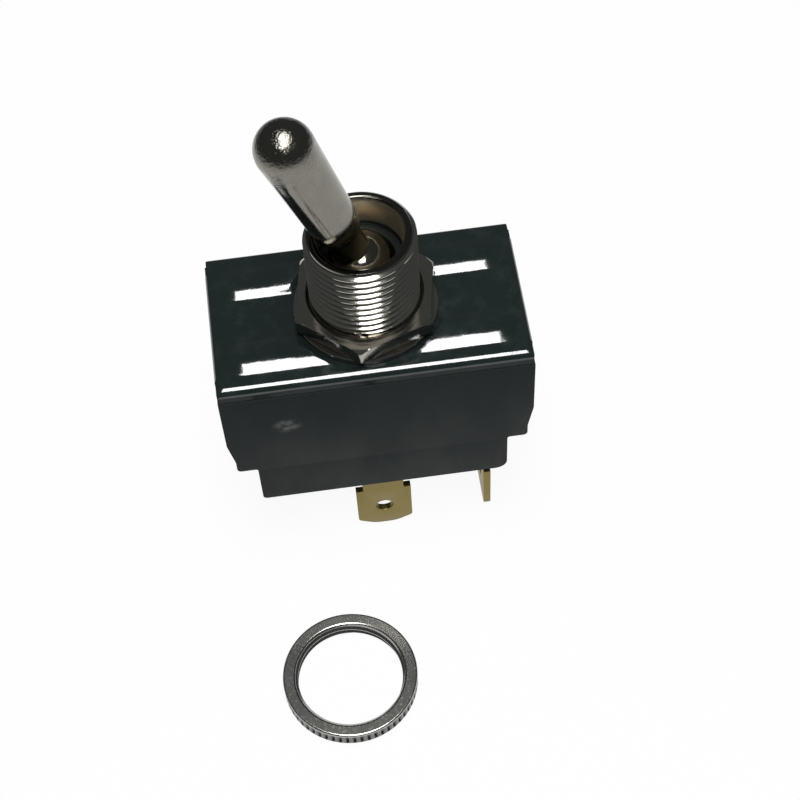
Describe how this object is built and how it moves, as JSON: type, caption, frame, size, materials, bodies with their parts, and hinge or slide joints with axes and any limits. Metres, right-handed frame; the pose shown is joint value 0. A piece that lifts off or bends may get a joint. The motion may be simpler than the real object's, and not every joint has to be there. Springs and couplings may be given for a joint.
{
  "type": "panel toggle switch",
  "caption": "Heavy-duty panel toggle switch with a bat lever, threaded bushing with nut and washer, folded steel frame on a moulded base, blade terminals, and a loose knurled face nut",
  "frame": {"origin": "on the bushing's axis at the flat top of the frame, where the panel seat is", "axes": "+Z out of the panel along the bushing, +X along the switch's length towards the throw terminals, +Y to the back pole"},
  "size_m": [0.0338, 0.0454, 0.0601],
  "materials": {
    "black_steel": "glossy dark paint",
    "phenolic": "dull moulded phenolic",
    "nickel": "polished nickel plate",
    "brass": "dull rolled brass",
    "copper": "rolled copper alloy",
    "silver": "plain metal",
    "nylon": "natural nylon",
    "fibre": "vulcanised fibre"
  },
  "bodies": {
    "switch_body": {"frame": "black_steel", "base": "phenolic", "insulator_sheet": "fibre", "bushing": "nickel", "lock_washer": "nickel", "hex_nut": "nickel", "face_nut": "nickel", "cradle_front": "copper", "cradle_back": "copper", "common_rivet_front": "brass", "common_rivet_back": "brass", "fixed_contact_front": "silver", "fixed_contact_back": "silver", "common_terminal_front": "brass", "common_terminal_back": "brass", "throw_terminal_front": "brass", "throw_terminal_back": "brass"},
    "lever": {"bat_lever": "nickel", "pivot_pin": "silver", "plunger_spring": "silver"},
    "plunger": {"plunger": "brass"},
    "rocker": {"actuator": "nylon", "contact_arm_front": "copper", "contact_arm_back": "copper", "moving_contact_front": "silver", "moving_contact_back": "silver"}
  },
  "joints": [
    {"name": "lever_tilt", "type": "hinge", "parent": "switch_body", "child": "lever", "pos_m": [0, 0, 0.007], "axis": [0, 1, 0], "range_deg": [0, 37.2]},
    {"name": "rocker_tilt", "type": "hinge", "parent": "switch_body", "child": "rocker", "pos_m": [0, 0, -0.0155], "axis": [0, 1, 0], "range_deg": [-14, 0]},
    {"name": "plunger_slide", "type": "slide", "parent": "lever", "child": "plunger", "axis": [-0.319, 0, 0.9478], "range_m": [0, 0.0006], "stiffness_N_per_m": 600, "springref_m": -0.0015, "deforming": ["plunger_spring"]}
  ],
  "couplings": [
    {"joint": "rocker_tilt", "follows": "lever_tilt", "ratio": -0.37634}
  ]
}
